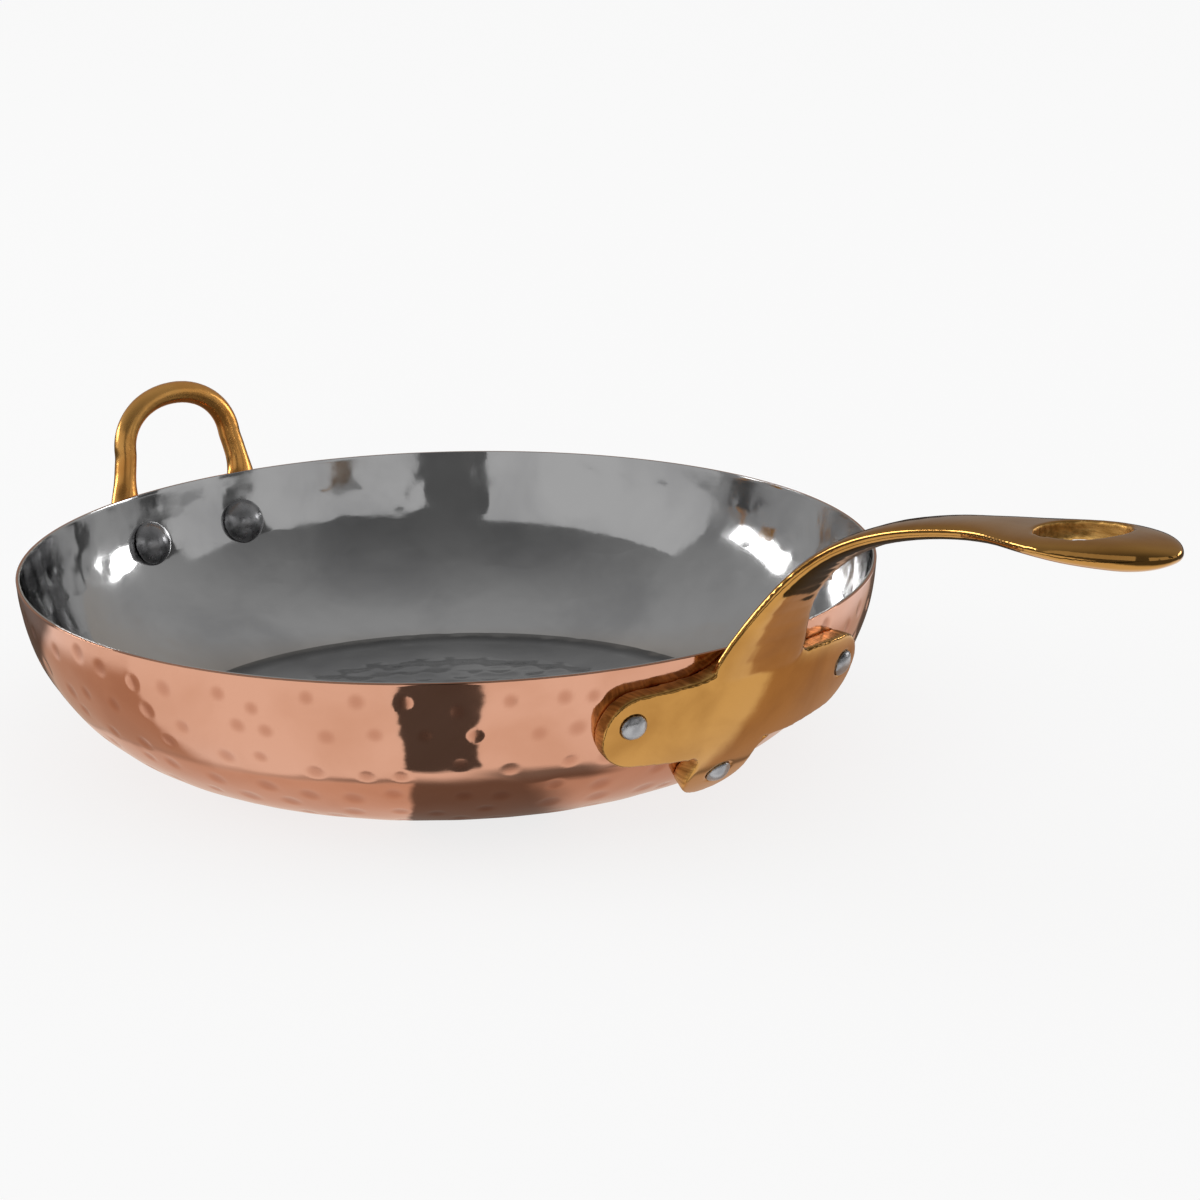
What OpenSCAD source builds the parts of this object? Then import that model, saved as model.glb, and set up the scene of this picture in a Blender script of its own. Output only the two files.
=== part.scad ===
// Hammered copper frying pan with a cast brass long handle, a brass helper loop and five rivets.
// The origin is the centre of the base, +X runs along the long handle and +Z is up.

/* [Pan] */
// Radius of the pan at its rim, outside the copper
rim_r = 140; // [120:1:170]
// Height of the rim over the table
pan_h = 61; // [58:0.5:72]
// Radius of the large corner between base and wall
corner_r = 63.5; // [48:0.5:64]
// Lean of the short straight lip away from upright, in degrees
lip_lean = 5.5; // [2:0.5:12]
// Thickness of the copper
copper_t = 1.3; // [0.8:0.1:2.5]
// Thickness of the bright steel lining
lining_t = 0.5; // [0.3:0.1:1.2]

/* [Handle plate] */
// Thickness of the cast plate that lies on the wall
plate_t = 6.2; // [4:0.2:9]
// Width of the plate over its two upper lobes
plate_w = 106.4; // [98:0.2:112]
// Height of the band that joins the two upper lobes
plate_band_h = 28; // [27:0.5:30]
// Radius of the end of an upper lobe
lobe_r = 12.3; // [10:0.1:12.8]
// Distance from the rim down to the upper edge of the plate
plate_drop = 6.6; // [4:0.2:9]
// How much higher the upper lobe at +Y sits than that at -Y; its rivet sits half as much higher
plate_skew = 0.9; // [0:0.1:1.4]
// Radius of the lower lobe round its rivet
low_lobe_r = 12.4; // [11:0.2:15]
// Sideways place of the lower lobe and its rivet
low_lobe_y = -2.8; // [-6:0.2:6]
// Fillet between the lower lobe and the band
lobe_fillet_r = 6; // [3:0.5:8]
// Wide sweep from the band up to the middle of the neck, on the side of -Y
neck_sweep_r = 28; // [18:0.5:32]
// Tight fillet between the neck and the band, on the side of +Y
neck_fillet_r = 4; // [1:0.5:6]

/* [Long handle] */
// Reach of the long handle from the rim to its tip
handle_reach = 165; // [140:0.5:200]
// Height of the tip over the rim
handle_rise = 58; // [40:0.2:75]
// Lean of the neck away from upright where it leaves the plate, in degrees
neck_lean = 22; // [14:1:30]
// Slope of the grip at its tip, in degrees
grip_slope = 2.5; // [0:0.5:8]
// Width of the neck at the rim
neck_w = 37; // [30:0.5:42]
// Length over which the neck narrows to the waist
neck_run = 43; // [34:1:54]
// Thickness of the neck and the waist
neck_t = 5.8; // [4.5:0.1:7]
// Width of the waist
waist_w = 18; // [14:0.2:22]
// Width of the flared grip end
eye_w = 34.2; // [33:0.2:40]
// Thickness of the grip end
eye_t = 9.2; // [7:0.2:12]
// Distance from the tip back to the widest place of the grip end
eye_back = 34; // [30:0.5:42]
// Length over which the waist widens to the grip end
eye_run = 41; // [34:1:54]

/* [Hanging slot] */
// Length of the hanging slot along the grip
slot_l = 29; // [25:0.5:34]
// Width of the hanging slot
slot_w = 22; // [17:0.5:24]
// Distance from the tip back to the middle of the slot
slot_back = 33.5; // [31:0.5:38]
// Radius of the soft lip of the slot
slot_lip = 2.6; // [1.6:0.2:4]
// Height of the rough straight wall inside the slot
slot_land = 4.4; // [2:0.2:5]

/* [Helper loop] */
// Thickness of the loop's round bar
bar_d = 7.8; // [6:0.2:10]
// Distance between the middles of the loop's legs
loop_w = 45.4; // [40:0.2:56]
// Height of the top of the loop over the rim
loop_rise = 33.8; // [28:0.2:46]
// Height of the arch over its straight legs, at the middle of the bar
loop_arch_h = 18; // [14:0.5:22]
// Sideways place of the arch
loop_y = 2.4; // [-4:0.2:4]
// Sideways place of the middle of the two pads
pads_y = -1; // [-4:0.2:4]
// Lean of the loop away from upright, in degrees
loop_lean = 10.8; // [4:0.2:16]
// Diameter of the round pads under the loop's rivets
pad_d = 20; // [18:0.5:24]
// Thickness of the pads
pad_t = 4.4; // [3.5:0.1:6]

/* [Rivets] */
// Diameter of the rivet shanks
shank_d = 6; // [5:0.1:7]
// Diameter of the domed heads inside the pan
dome_d = 15.4; // [12:0.2:16]
// Height of the domed heads
dome_h = 6; // [3.5:0.1:6.5]
// Diameter of the clinched heads outside
clinch_d = 8.8; // [8.4:0.1:10.5]
// Height of the clinched heads over the brass
clinch_h = 2; // [0.8:0.1:2.6]
// Depth of the seat of a clinched head in the brass
clinch_seat = 0.7; // [0.4:0.1:1.4]
// Distance between the two upper rivets of the long handle, along the rim
upper_pitch = 87; // [78:0.5:92]
// Distance from the rim down to the upper rivets
upper_drop = 16; // [14:0.2:18]
// Distance from the rim down to the lower rivet
lower_drop = 39.4; // [37:0.2:43]
// Distance between the two rivets of the loop, along the rim
loop_pitch = 41.4; // [30:0.2:52]
// Distance from the rim down to the rivets of the loop
loop_drop = 17.4; // [13:0.2:22]

/* [Fits] */
// Gap between the lining and the copper
bond_gap = 0.02; // [0.01:0.01:0.1]
// Gap between the wall and the brass that lies on it
seat_gap = 0.05; // [0.02:0.01:0.2]
// Gap between a rivet and what it holds
rivet_gap = 0.05; // [0.02:0.01:0.2]

/* [Hidden] */
$fn = 96;

COPPER = "#c98a6a";
STEEL = "#9b9b9b";
BRASS = "#b78a45";
RIVET = "#8a8a8a";

// How much a cutting solid stands past what it cuts
over = 1;
// Roundness of the cast grip's section: 2 is an ellipse and more is squarer
grip_square = 2.6;
// Roundness of the arch of the loop
arch_square = 2.1;
// Rounds and points of the two swept forms
grip_rings = 44;
grip_sides = 28;
arch_rings = 36;
leg_rings = 12;
bar_sides = 18;
// Sides of the slot's round ends and of its lips
slot_sides = 48;
// Sides of the turned wall
wall_fn = 240;

// The wall: a flat base, one large arc and a straight lip that leaves the arc without a corner
arc_top = corner_r * (1 - sin(lip_lean));
lip_run = (pan_h - arc_top) / cos(lip_lean);
base_r = rim_r - corner_r * cos(lip_lean) - lip_run * sin(lip_lean);
function wall_turn(z) = z < arc_top ? acos(1 - z / corner_r) : 90 - lip_lean;
function wall_r(z) = base_r + corner_r * sin(wall_turn(z)) + max(0, z - arc_top) * tan(lip_lean);

// Vector helpers
function unit(v) = v / norm(v);
function mix(a, b, t) = a + (b - a) * t;
function ease(t) = (1 - cos(180 * min(1, max(0, t)))) / 2;
function signed_pow(v, e) = sign(v) * pow(abs(v), e);
function bezier(p, t) = pow(1 - t, 3) * p[0] + 3 * t * pow(1 - t, 2) * p[1]
    + 3 * t * t * (1 - t) * p[2] + pow(t, 3) * p[3];
function bezier_dir(p, t) = unit(pow(1 - t, 2) * (p[1] - p[0]) + 2 * t * (1 - t) * (p[2] - p[1])
    + t * t * (p[3] - p[2]));

// One round of a swept form: half width across, half thickness along the side that ref names
function ring(at, dir, ref, half_w, half_t, sides, square) =
    let (across = unit(cross(dir, ref)), out = cross(across, dir))
    [for (i = [0 : sides - 1])
        at + across * half_w * signed_pow(cos(360 * i / sides), 2 / square)
            + out * half_t * signed_pow(sin(360 * i / sides), 2 / square)];

// A closed solid through a list of rounds with the same number of points
module loft(rings) {
    count = len(rings);
    sides = len(rings[0]);
    sides_faces = [for (k = [0 : count - 2], i = [0 : sides - 1])
        let (j = (i + 1) % sides)
        each [[k * sides + i, k * sides + j, (k + 1) * sides + j],
            [k * sides + i, (k + 1) * sides + j, (k + 1) * sides + i]]];
    start_face = [for (i = [sides - 1 : -1 : 0]) i];
    end_face = [for (i = [0 : sides - 1]) (count - 1) * sides + i];
    polyhedron([for (r = rings) each r], concat([start_face, end_face], sides_faces), convexity = 6);
}

// The region inside the wall's outer face, moved outwards by d, from the base up to a height
module bowl_section(d, top) {
    foot = [base_r, -d];
    middle = [base_r, corner_r];
    arc_end = middle + (corner_r + d) * [cos(lip_lean), -sin(lip_lean)];
    lip_end = [arc_end.x + (top - arc_end.y) * tan(lip_lean), top];
    intersection() {
        union() {
            polygon([[0, -d], foot, middle, arc_end, lip_end, [0, top]]);
            translate(middle)
                circle(corner_r + d, $fn = wall_fn);
        }
        translate([0, -d])
            square([2 * rim_r, top + d]);
    }
}

// Turns a section into a round solid, with the seam of its faces at +Y, clear of both handles
module spin() {
    rotate([0, 0, 90])
        rotate_extrude($fn = wall_fn)
            children();
}

// A skin that follows the wall between two distances from its outer face
module wall_skin(d_in, d_out, top) {
    spin()
        difference() {
            bowl_section(d_out, top);
            bowl_section(d_in, top + over);
        }
}

// The whole space inside the wall and a seat gap round it, which no brass may enter
module pan_space() {
    spin()
        bowl_section(seat_gap, pan_h);
}

// Places its children on the wall's outer face at an angle and height, with +Z pointing out
module on_wall(angle, z) {
    rotate([0, 0, angle])
        translate([wall_r(z), 0, z])
            rotate([0, 180 - wall_turn(z), 0])
                children();
}

// Rivet places as angle and height, with the thickness of brass that each one holds
upper_z = pan_h - upper_drop;
lower_z = pan_h - lower_drop;
loop_z = pan_h - loop_drop;
upper_angle = upper_pitch / 2 / wall_r(upper_z) * 180 / PI;
lower_angle = low_lobe_y / wall_r(lower_z) * 180 / PI;
loop_angle = loop_pitch / 2 / wall_r(loop_z) * 180 / PI;
pads_turn = 180 - pads_y / wall_r(loop_z) * 180 / PI;
rivet_left = [-upper_angle, upper_z - plate_skew / 4, plate_t];
rivet_right = [upper_angle, upper_z + plate_skew / 4, plate_t];
rivet_lower = [lower_angle, lower_z, plate_t];
rivet_loop_left = [pads_turn + loop_angle, loop_z, pad_t];
rivet_loop_right = [pads_turn - loop_angle, loop_z, pad_t];
inner_face = -copper_t - bond_gap - lining_t;

module rivet_hole(place, from, to) {
    on_wall(place[0], place[1])
        translate([0, 0, from])
            cylinder(h = to - from, d = shank_d + 2 * rivet_gap);
}

// The hole through the brass, with the shallow seat of the clinched head
module clinch_hole(place) {
    face = seat_gap + place[2];
    rivet_hole(place, -over, face + over);
    on_wall(place[0], place[1])
        translate([0, 0, face - clinch_seat])
            cylinder(h = clinch_seat + 2 * over, d = clinch_d + 2 * rivet_gap);
}

// Half of the section of a cap of a ball: radius of its rim and height over it
module cap_section(rim_radius, height) {
    ball_r = (rim_radius * rim_radius + height * height) / (2 * height);
    intersection() {
        translate([0, height - ball_r])
            circle(ball_r);
        square([rim_radius + over, height + over]);
    }
}

// How far the hollow wall rises under the edge of a flat head
tube_r = corner_r + inner_face;
head_lift = tube_r - sqrt(tube_r * tube_r - dome_d * dome_d / 4);
head_edge = 0.5;

// A rivet, turned: domed head on the lining, shank, and the end clinched into the brass
module rivet(place) {
    head = inner_face - head_lift - rivet_gap;
    clinch = seat_gap + place[2] - clinch_seat + rivet_gap;
    on_wall(place[0], place[1])
        rotate_extrude() {
            translate([0, head - head_edge])
                square([dome_d / 2, head_edge]);
            translate([0, head - head_edge])
                mirror([0, 1])
                    cap_section(dome_d / 2, dome_h - head_edge);
            translate([0, head - head_edge])
                square([shank_d / 2, clinch - head + head_edge + clinch_seat]);
            translate([0, clinch])
                square([clinch_d / 2, clinch_seat]);
            translate([0, clinch + clinch_seat])
                cap_section(clinch_d / 2, clinch_h);
        }
}

module copper_shell() {
    color(COPPER)
        difference() {
            wall_skin(-copper_t, 0, pan_h);
            for (place = [rivet_left, rivet_right, rivet_lower, rivet_loop_left, rivet_loop_right])
                rivet_hole(place, -2 * copper_t - over, over);
        }
}

module steel_lining() {
    color(STEEL)
        difference() {
            wall_skin(inner_face, -copper_t - bond_gap, pan_h);
            for (place = [rivet_left, rivet_right, rivet_lower, rivet_loop_left, rivet_loop_right])
                rivet_hole(place, inner_face - over, over);
        }
}

// A square corner filled by a fillet: the corner is at the origin and opens to +X and +Y
module inner_fillet(r) {
    difference() {
        square(r);
        translate([r, r])
            circle(r);
    }
}

// The plate's outer face, and where the middle of the band and its lower edge meet it
plate_face = seat_gap + plate_t;
band_top = pan_h - plate_drop;
band_low = band_top - plate_band_h;
band_mid = (band_top + band_low) / 2;
function face_turn(z) = acos((corner_r - min(z, arc_top)) / (corner_r + plate_face));
function face_r(z) = base_r + (corner_r + plate_face) * sin(face_turn(z));

// An upper lobe looks out along this angle, and its end reaches half the width of the plate
lobe_angle = 16;
lobe_reach = face_r(band_mid) * sin(asin(plate_w / 2 / face_r(band_mid)) - lobe_angle);
lobe_taper = 19;
lobe_up = 0.6;

// Half of the band with its upper lobe: X is sideways from the angle it looks along, Y is up
module lobe_outline() {
    middle = lobe_reach - lobe_r;
    start = middle - lobe_taper;
    inner = -face_r(band_mid) * sin(lobe_angle);
    high = band_top - band_mid - lobe_up;
    low = band_mid + lobe_up - band_low;
    high_slope = atan(high / lobe_taper) - asin(lobe_r / norm([lobe_taper, high]));
    low_slope = atan(low / lobe_taper) - asin(lobe_r / norm([lobe_taper, low]));
    translate([0, band_mid + lobe_up]) {
        translate([middle, 0])
            circle(lobe_r);
        polygon([[inner, high], [start, high],
            [middle + lobe_r * sin(high_slope), lobe_r * cos(high_slope)],
            [middle + lobe_r * sin(low_slope), -lobe_r * cos(low_slope)],
            [start, -low], [inner, -low]]);
    }
}

// The root of the neck: a wide sweep on one side and a tight fillet on the other, each of which
// dips a little under the upper edge of its lobe
sweep_dip = 0.4;
sweep_low = band_top - plate_skew / 2 - sweep_dip;
fillet_low = band_top + plate_skew / 2 - sweep_dip;
sweep_steps = 12;
fillet_steps = 5;
module neck_outline() {
    high = pan_h + plate_t;
    sweep_end = acos(1 - (high - sweep_low) / neck_sweep_r);
    polygon(concat(
        [for (k = [0 : sweep_steps])
            let (a = sweep_end * k / sweep_steps)
            [-neck_sweep_r + neck_sweep_r * sin(a), sweep_low + neck_sweep_r * (1 - cos(a))]],
        [[neck_w / 2, high]],
        [for (k = [0 : fillet_steps])
            let (a = 90 * k / fillet_steps)
            [neck_w / 2 + neck_fillet_r * (1 - cos(a)), fillet_low + neck_fillet_r * (1 - sin(a))]],
        [[neck_w / 2 + neck_fillet_r, band_mid], [-neck_sweep_r, band_mid]]));
}

// How far down the plane of the lower lobe the band's lower edge lies, on the plate's outer face
lobe_turn = wall_turn(lower_z);
band_edge = (wall_r(lower_z) - face_r(band_low)) * cos(lobe_turn)
    + (lower_z - band_low) * sin(lobe_turn);

// The lower lobe, square to the wall at its rivet: X runs down the wall and Y is sideways
module low_lobe_outline() {
    circle(low_lobe_r);
    translate([band_edge - plate_t, -low_lobe_r])
        square([plate_t - band_edge, 2 * low_lobe_r]);
    for (side = [0, 1])
        mirror([0, side])
            translate([band_edge, low_lobe_r])
                inner_fillet(lobe_fillet_r);
}

// Pushes an outline through the wall, tilted down, and true to size at a height on the outer face
module through_wall(z, tilt) {
    deep = 2 * plate_t;
    translate([face_r(z), 0, z])
        rotate([0, tilt, 0])
            translate([-2 * deep, 0, -z])
                rotate([90, 0, 90])
                    linear_extrude(3 * deep)
                        children();
}

// The part of an outline above the middle of the band, or below it, with some of the other part
module half_of(side) {
    share = plate_band_h / 8;
    intersection() {
        children();
        translate([-rim_r, side > 0 ? band_mid - share : band_mid + share - rim_r])
            square([2 * rim_r, rim_r]);
    }
}

// The three-lobed plate, bent to the wall. Its upper edge is square to the wall
upper_tilt = 90 - face_turn(band_top);
lower_tilt = 12;
module plate() {
    deep = 2 * plate_t;
    intersection() {
        spin()
            bowl_section(seat_gap + plate_t, pan_h);
        union() {
            for (side = [-1, 1])
                mirror([0, 1 - side, 0])
                    rotate([0, 0, lobe_angle])
                        translate([0, 0, side * plate_skew / 2]) {
                            through_wall(band_top, upper_tilt)
                                half_of(1)
                                    lobe_outline();
                            through_wall(band_low, lower_tilt)
                                half_of(-1)
                                    lobe_outline();
                        }
            through_wall(band_top, upper_tilt)
                neck_outline();
            on_wall(lower_angle, lower_z)
                translate([0, 0, -deep])
                    linear_extrude(3 * deep)
                        low_lobe_outline();
        }
    }
}

// The spine of neck and grip in the plane of the handle
neck_sunk = 9;
neck_foot_z = pan_h - neck_sunk;
neck_foot = [wall_r(neck_foot_z) + seat_gap + plate_t / 2, 0, neck_foot_z];
tip = [rim_r + handle_reach, 0, pan_h + handle_rise];
neck_pull = 70;
grip_pull = 72;
spine = [neck_foot, neck_foot + neck_pull * [sin(neck_lean), 0, cos(neck_lean)],
    tip - grip_pull * [cos(grip_slope), 0, sin(grip_slope)], tip];
tip_round = 14;
// Smallest share of the width and thickness, squared, that is left at the blunt tip
tip_end_w = 0.004;
tip_end_t = 0.02;

// Half width and half thickness of the handle, from the distances to the rim and to the tip
function grip_half_w(from_rim, to_tip) = to_tip < eye_back
    ? eye_w / 2 * sqrt(max(tip_end_w, 1 - pow(1 - to_tip / eye_back, 2)))
    : waist_w / 2 + (neck_w - waist_w) / 2 * pow(min(1, max(0, 1 - from_rim / neck_run)), 2)
        + (eye_w - waist_w) / 2 * ease(1 - (to_tip - eye_back) / eye_run);
function grip_half_t(to_tip) = mix(neck_t, eye_t, ease(1 - (to_tip - eye_back / 2) / eye_run)) / 2
    * (to_tip < tip_round ? sqrt(max(tip_end_t, 1 - pow(1 - to_tip / tip_round, 2))) : 1);

// Distance along the spine, by short chords
function spine_length(t0, t1) = let (steps = 12)
    [for (k = [0 : steps - 1]) norm(bezier(spine, mix(t0, t1, (k + 1) / steps))
        - bezier(spine, mix(t0, t1, k / steps)))] * [for (k = [0 : steps - 1]) 1];

module grip() {
    rings = [for (k = [0 : grip_rings])
        let (t = sin(90 * k / grip_rings), foot = spine_length(0, t), end = spine_length(t, 1))
        ring(bezier(spine, t), bezier_dir(spine, t), [0, 1, 0],
            grip_half_t(end), grip_half_w(foot - neck_sunk, end), grip_sides, grip_square)];
    loft(rings);
}

// Half of the slot's section: a straight land in the middle, and a lip that opens to both faces
module slot_section(half_w) {
    translate([0, -eye_t])
        square([half_w, 2 * eye_t]);
    for (side = [0, 1])
        mirror([0, side])
            translate([half_w, slot_land / 2]) {
                difference() {
                    square(slot_lip);
                    translate([slot_lip, 0])
                        circle(slot_lip, $fn = slot_sides);
                }
                translate([0, slot_lip])
                    square([slot_lip, eye_t]);
            }
}

// The hanging slot: two round ends and straight sides, square to the grip
module hanging_slot() {
    straight = slot_l - slot_w;
    translate(tip - slot_back * [cos(grip_slope), 0, sin(grip_slope)])
        rotate([0, -grip_slope, 0]) {
            for (side = [-1, 1])
                translate([side * straight / 2, 0, 0])
                    rotate_extrude($fn = slot_sides)
                        slot_section(slot_w / 2);
            for (side = [-1, 1])
                rotate([90, 0, 90 * side])
                    linear_extrude(straight, center = true)
                        slot_section(slot_w / 2);
        }
}

module long_handle() {
    color(BRASS)
        difference() {
            union() {
                plate();
                grip();
            }
            pan_space();
            for (place = [rivet_left, rivet_right, rivet_lower])
                clinch_hole(place);
            hanging_slot();
        }
}

// The middle line of the loop: a leg from each pad up to the arch, and the arch between them
arch_z = pan_h + loop_rise - bar_d / 2 - loop_arch_h;
bar_clear = 0.4;
bar_out = rim_r + seat_gap + bar_d / 2 + bar_clear;
function loop_x(z) = -bar_out - (z - pan_h) * tan(loop_lean);
function arch_point(a) =
    let (z = arch_z + loop_arch_h * signed_pow(sin(a), 2 / arch_square))
    [loop_x(z), loop_y + loop_w / 2 * signed_pow(cos(a), 2 / arch_square), z];
pad_out = wall_r(loop_z) + seat_gap + pad_t / 2;
leg_pull = 16;
pad_pull = 12;
leg_splay = 0.25;
pad_lean = 0.3;
pad_splay = 0.55;

// One leg from the arch down to its pad: side is 1 for the leg at +Y and -1 for the other
function leg(side) =
    let (start = arch_point(side > 0 ? 0 : 180),
        turn = pads_turn - side * loop_angle,
        pad = [pad_out * cos(turn), pad_out * sin(turn), loop_z])
    [start, start + leg_pull * unit([tan(loop_lean), side * leg_splay, -1]),
        pad + pad_pull * unit([-pad_lean, side * pad_splay, 1]), pad];

// Rounds of the loop: the bar flattens and widens as its leg reaches the pad
leg_foot_w = 13.5;
leg_flare_from = 0.15;
leg_flare_run = 0.5;
function leg_ring(path, t, travel) =
    let (wide = ease((t - leg_flare_from) / leg_flare_run), flat = ease(2 * t - 1))
    ring(bezier(path, t), travel * bezier_dir(path, t), [-1, 0, 0],
        mix(bar_d, leg_foot_w, wide) / 2, mix(bar_d, pad_t, flat) / 2, bar_sides, 2);
arch_step = 0.5;
function arch_ring(a) =
    let (dir = unit(arch_point(a + arch_step) - arch_point(a - arch_step)))
    ring(arch_point(a), dir, [-1, 0, 0], bar_d / 2, bar_d / 2, bar_sides, 2);

module loop_bar() {
    up = [for (k = [0 : leg_rings - 1]) leg_ring(leg(1), 1 - k / leg_rings, -1)];
    over_arch = [for (k = [0 : arch_rings]) arch_ring(180 * k / arch_rings)];
    down = [for (k = [1 : leg_rings]) leg_ring(leg(-1), k / leg_rings, 1)];
    loft(concat(up, over_arch, down));
}

module loop_handle() {
    color(BRASS)
        difference() {
            union() {
                intersection() {
                    wall_skin(seat_gap, seat_gap + pad_t, pan_h);
                    for (place = [rivet_loop_left, rivet_loop_right])
                        on_wall(place[0], place[1])
                            translate([0, 0, -2 * pad_t])
                                cylinder(h = 4 * pad_t, d = pad_d);
                }
                loop_bar();
            }
            pan_space();
            for (place = [rivet_loop_left, rivet_loop_right])
                clinch_hole(place);
        }
}

module handle_rivet_left() {
    color(RIVET)
        rivet(rivet_left);
}

module handle_rivet_right() {
    color(RIVET)
        rivet(rivet_right);
}

module handle_rivet_lower() {
    color(RIVET)
        rivet(rivet_lower);
}

module loop_rivet_left() {
    color(RIVET)
        rivet(rivet_loop_left);
}

module loop_rivet_right() {
    color(RIVET)
        rivet(rivet_loop_right);
}

copper_shell();
steel_lining();
long_handle();
loop_handle();
handle_rivet_left();
handle_rivet_right();
handle_rivet_lower();
loop_rivet_left();
loop_rivet_right();
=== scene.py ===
"""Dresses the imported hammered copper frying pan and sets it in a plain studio.

The copper shell and the steel lining are turned again from the part's own section, with real
hammer marks. The cast brass handles and the rivets are the part's own solids, softened as
castings and clinched heads are. Lengths are in metres, and +X runs along the long handle.
"""

import math
import random

import bmesh
import bpy
import numpy as np
from mathutils import Matrix, Vector, noise


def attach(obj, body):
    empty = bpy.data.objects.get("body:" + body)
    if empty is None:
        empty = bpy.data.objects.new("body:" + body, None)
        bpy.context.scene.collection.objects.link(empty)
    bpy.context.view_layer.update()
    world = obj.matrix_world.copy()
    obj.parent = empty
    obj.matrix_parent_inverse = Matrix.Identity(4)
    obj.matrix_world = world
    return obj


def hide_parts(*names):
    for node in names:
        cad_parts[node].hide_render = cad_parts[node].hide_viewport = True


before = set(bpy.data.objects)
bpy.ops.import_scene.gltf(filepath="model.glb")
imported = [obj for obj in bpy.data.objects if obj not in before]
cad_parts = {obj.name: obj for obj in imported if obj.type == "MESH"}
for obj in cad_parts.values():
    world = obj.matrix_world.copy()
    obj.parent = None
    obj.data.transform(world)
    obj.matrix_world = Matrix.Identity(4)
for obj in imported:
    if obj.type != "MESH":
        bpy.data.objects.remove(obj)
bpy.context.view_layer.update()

MM = 0.001

# The pan's section, as in the part's source
RIM_R = 140 * MM
PAN_H = 61 * MM
CORNER_R = 63.5 * MM
LIP_LEAN = math.radians(5.5)
COPPER_T = 1.3 * MM
LINING_T = 0.5 * MM
BOND_GAP = 0.02 * MM
ARC_TOP = CORNER_R * (1 - math.sin(LIP_LEAN))
LIP_RUN = (PAN_H - ARC_TOP) / math.cos(LIP_LEAN)
BASE_R = RIM_R - CORNER_R * math.cos(LIP_LEAN) - LIP_RUN * math.sin(LIP_LEAN)
ARC_RUN = CORNER_R * (math.pi / 2 - LIP_LEAN)
WALL_RUN = BASE_R + ARC_RUN + LIP_RUN
# The wall thins from inside below the rim: where that starts, where it is full, and its slope
THIN_FROM = 10 * MM
THIN_FULL = 4 * MM
THIN_SLOPE = 0.075

# The hanging slot's middle along the handle, and half its length and width there
SLOT_AT = 271.5 * MM
SLOT_HALF_LENGTH = 15 * MM
SLOT_HALF_WIDTH = 11.5 * MM

# The photograph's camera, in studio coordinates: X to the right, Y away from the camera,
# with the pan's axis at the origin. The long handle points right and towards the camera.
HANDLE_BEARING = math.radians(-47.44)
CAMERA_AT = (0.0496, -1.3219, 0.4291)
CAMERA_PITCH = math.radians(16.2)
CAMERA_ROLL = math.radians(1.08)
LENS = 126
SENSOR = 36
STUDIO = Matrix.Rotation(-HANDLE_BEARING, 4, "Z")

WHITE = (1, 1, 1, 1)


def add_camera():
    """The camera that was fitted to the photograph."""
    data = bpy.data.cameras.new("photo_camera")
    data.lens = LENS
    data.sensor_width = SENSOR
    camera = bpy.data.objects.new("photo_camera", data)
    bpy.context.scene.collection.objects.link(camera)
    camera.matrix_world = (
        STUDIO
        @ Matrix.Translation(CAMERA_AT)
        @ Matrix.Rotation(math.pi / 2 - CAMERA_PITCH, 4, "X")
        @ Matrix.Rotation(-CAMERA_ROLL, 4, "Z")
    )
    bpy.context.scene.camera = camera


# Shader nodes


def new_material(name):
    """An empty node material, with its output node."""
    made = bpy.data.materials.new(name)
    made.use_nodes = True
    made.node_tree.nodes.clear()
    return made, made.node_tree.nodes.new("ShaderNodeOutputMaterial")


def set_input(tree, socket, value):
    """Gives an input a number, a colour or another node's socket."""
    if isinstance(value, bpy.types.NodeSocket):
        tree.links.new(value, socket)
    else:
        socket.default_value = value


def add_node(tree, kind, inputs=None, **settings):
    """A node with its settings and its inputs."""
    made = tree.nodes.new(kind)
    for name, value in settings.items():
        setattr(made, name, value)
    for name, value in (inputs or {}).items():
        set_input(tree, made.inputs[name], value)
    return made


def math_of(tree, operation, first, second=0.0):
    """What one operation makes of two numbers or sockets."""
    made = add_node(tree, "ShaderNodeMath", {0: first, 1: second}, operation=operation)
    return made.outputs[0]


def parts_of(tree, vector):
    """The X, Y and Z of a vector."""
    return add_node(tree, "ShaderNodeSeparateXYZ", {"Vector": vector}).outputs


def joined(tree, x, y, z=0.0):
    """The vector of three numbers or sockets."""
    return add_node(tree, "ShaderNodeCombineXYZ", {"X": x, "Y": y, "Z": z}).outputs[0]


def object_point(tree):
    """The shaded point in its piece's own coordinates."""
    return add_node(tree, "ShaderNodeTexCoord").outputs["Object"]


def noise_of(tree, point, scale, detail=2.0, distortion=0.0):
    """Soft noise from about 0 to 1, finer with a larger scale."""
    inputs = {"Vector": point, "Scale": scale, "Detail": detail, "Distortion": distortion}
    return add_node(tree, "ShaderNodeTexNoise", inputs).outputs["Fac"]


def ramp_of(tree, value, low, high, low_out=0.0, high_out=1.0):
    """A smooth step from low_out, below low, to high_out, above high."""
    inputs = {
        "Value": value,
        "From Min": low,
        "From Max": high,
        "To Min": low_out,
        "To Max": high_out,
    }
    made = add_node(tree, "ShaderNodeMapRange", inputs, interpolation_type="SMOOTHSTEP")
    return made.outputs[0]


def mixed_colour(tree, share, first, second):
    """The first colour, with a share of the second."""
    made = add_node(tree, "ShaderNodeMix", data_type="RGBA")
    # A mix node's inputs 0, 6 and 7 and its output 2 are those for colours
    for place, value in ((0, share), (6, first), (7, second)):
        set_input(tree, made.inputs[place], value)
    return made.outputs[2]


# The floor and the light

# The share of its full strength at which the world lights things
WORLD_LIGHT = 0.8
FLOOR_COLOUR = (0.86, 0.86, 0.86, 1)
FLOOR_HALF = 4.5
FLOOR_DROP = 0.2 * MM
# How much of the floor's look is plain white: the rest takes the pan's shadow
FLOOR_WHITE = 0.8


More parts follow.
